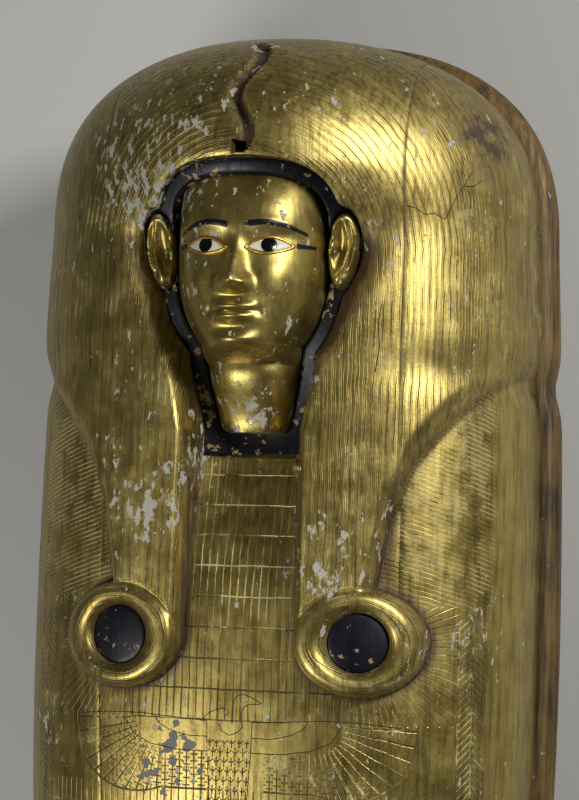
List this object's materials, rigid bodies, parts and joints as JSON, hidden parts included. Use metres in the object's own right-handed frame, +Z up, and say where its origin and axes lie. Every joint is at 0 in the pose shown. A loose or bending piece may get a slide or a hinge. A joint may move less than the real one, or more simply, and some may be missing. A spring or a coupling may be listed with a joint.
{
  "type": "mummy case",
  "caption": "Gilded wooden mummy case in human form with a lift-off lid, wig with curled lappets, inlaid eyes, and a painted trough whose tenons are locked by pegs.",
  "frame": {"origin": "under the middle of the case, on the surface it lies on", "axes": "+Z up out of the face, +Y to the crown of the head, +X to the figure's own left"},
  "size_m": [0.6794, 2.1196, 0.6214],
  "materials": {
    "gilded_wood": "gold leaf on gesso over carved wood, worn and dirty in the lines",
    "painted_wood": "dark paint over planks, worn at the edges",
    "bare_wood": "old bare wood",
    "dark_inlay": "dark blue glass paste, scuffed",
    "gold_rim": "gold sheet",
    "white_stone": "polished white stone",
    "black_stone": "polished black stone"
  },
  "bodies": {
    "trough": {"floor_board_left": "painted_wood", "floor_board_right": "painted_wood", "floor_tongues": "bare_wood", "side_left": "painted_wood", "side_right": "painted_wood", "head_end": "painted_wood", "foot_end": "painted_wood", "floor_dowels": "bare_wood", "wall_dowels": "bare_wood"},
    "lid": {"lid_centre_plank": "gilded_wood", "lid_left_plank": "gilded_wood", "lid_right_plank": "gilded_wood", "lid_foot_block": "gilded_wood", "lid_dowels": "bare_wood", "tenons": "bare_wood", "tenon_pegs": "bare_wood", "lappet_left": "gilded_wood", "lappet_right": "gilded_wood", "curl_disc_left": "dark_inlay", "curl_disc_right": "dark_inlay", "brow_band": "dark_inlay", "neck_border": "dark_inlay", "face_mask": "gilded_wood", "face_dowels": "bare_wood", "ear_left": "gilded_wood", "ear_right": "gilded_wood", "eye_rim_left": "gold_rim", "eye_rim_right": "gold_rim", "eye_white_left": "white_stone", "eye_white_right": "white_stone", "pupil_left": "black_stone", "pupil_right": "black_stone", "eyebrow_left": "dark_inlay", "eyebrow_right": "dark_inlay", "eye_line_left": "dark_inlay", "eye_line_right": "dark_inlay"},
    "lock_peg_left_1": {"lock_peg_left_1": "bare_wood"},
    "lock_peg_left_2": {"lock_peg_left_2": "bare_wood"},
    "lock_peg_left_3": {"lock_peg_left_3": "bare_wood"},
    "lock_peg_left_4": {"lock_peg_left_4": "bare_wood"},
    "lock_peg_right_1": {"lock_peg_right_1": "bare_wood"},
    "lock_peg_right_2": {"lock_peg_right_2": "bare_wood"},
    "lock_peg_right_3": {"lock_peg_right_3": "bare_wood"},
    "lock_peg_right_4": {"lock_peg_right_4": "bare_wood"}
  },
  "joints": [
    {"name": "lid_lift", "type": "slide", "parent": "trough", "child": "lid", "axis": [0, 0, 1], "range_m": [0, 0.45]},
    {"name": "lock_peg_left_1_drive", "type": "slide", "parent": "trough", "child": "lock_peg_left_1", "axis": [-1, 0, 0], "range_m": [0, 0.024]},
    {"name": "lock_peg_left_2_drive", "type": "slide", "parent": "trough", "child": "lock_peg_left_2", "axis": [-1, 0, 0], "range_m": [0, 0.024]},
    {"name": "lock_peg_left_3_drive", "type": "slide", "parent": "trough", "child": "lock_peg_left_3", "axis": [-1, 0, 0], "range_m": [0, 0.024]},
    {"name": "lock_peg_left_4_drive", "type": "slide", "parent": "trough", "child": "lock_peg_left_4", "axis": [-1, 0, 0], "range_m": [0, 0.024]},
    {"name": "lock_peg_right_1_drive", "type": "slide", "parent": "trough", "child": "lock_peg_right_1", "axis": [1, 0, 0], "range_m": [0, 0.024]},
    {"name": "lock_peg_right_2_drive", "type": "slide", "parent": "trough", "child": "lock_peg_right_2", "axis": [1, 0, 0], "range_m": [0, 0.024]},
    {"name": "lock_peg_right_3_drive", "type": "slide", "parent": "trough", "child": "lock_peg_right_3", "axis": [1, 0, 0], "range_m": [0, 0.024]},
    {"name": "lock_peg_right_4_drive", "type": "slide", "parent": "trough", "child": "lock_peg_right_4", "axis": [1, 0, 0], "range_m": [0, 0.024]}
  ]
}
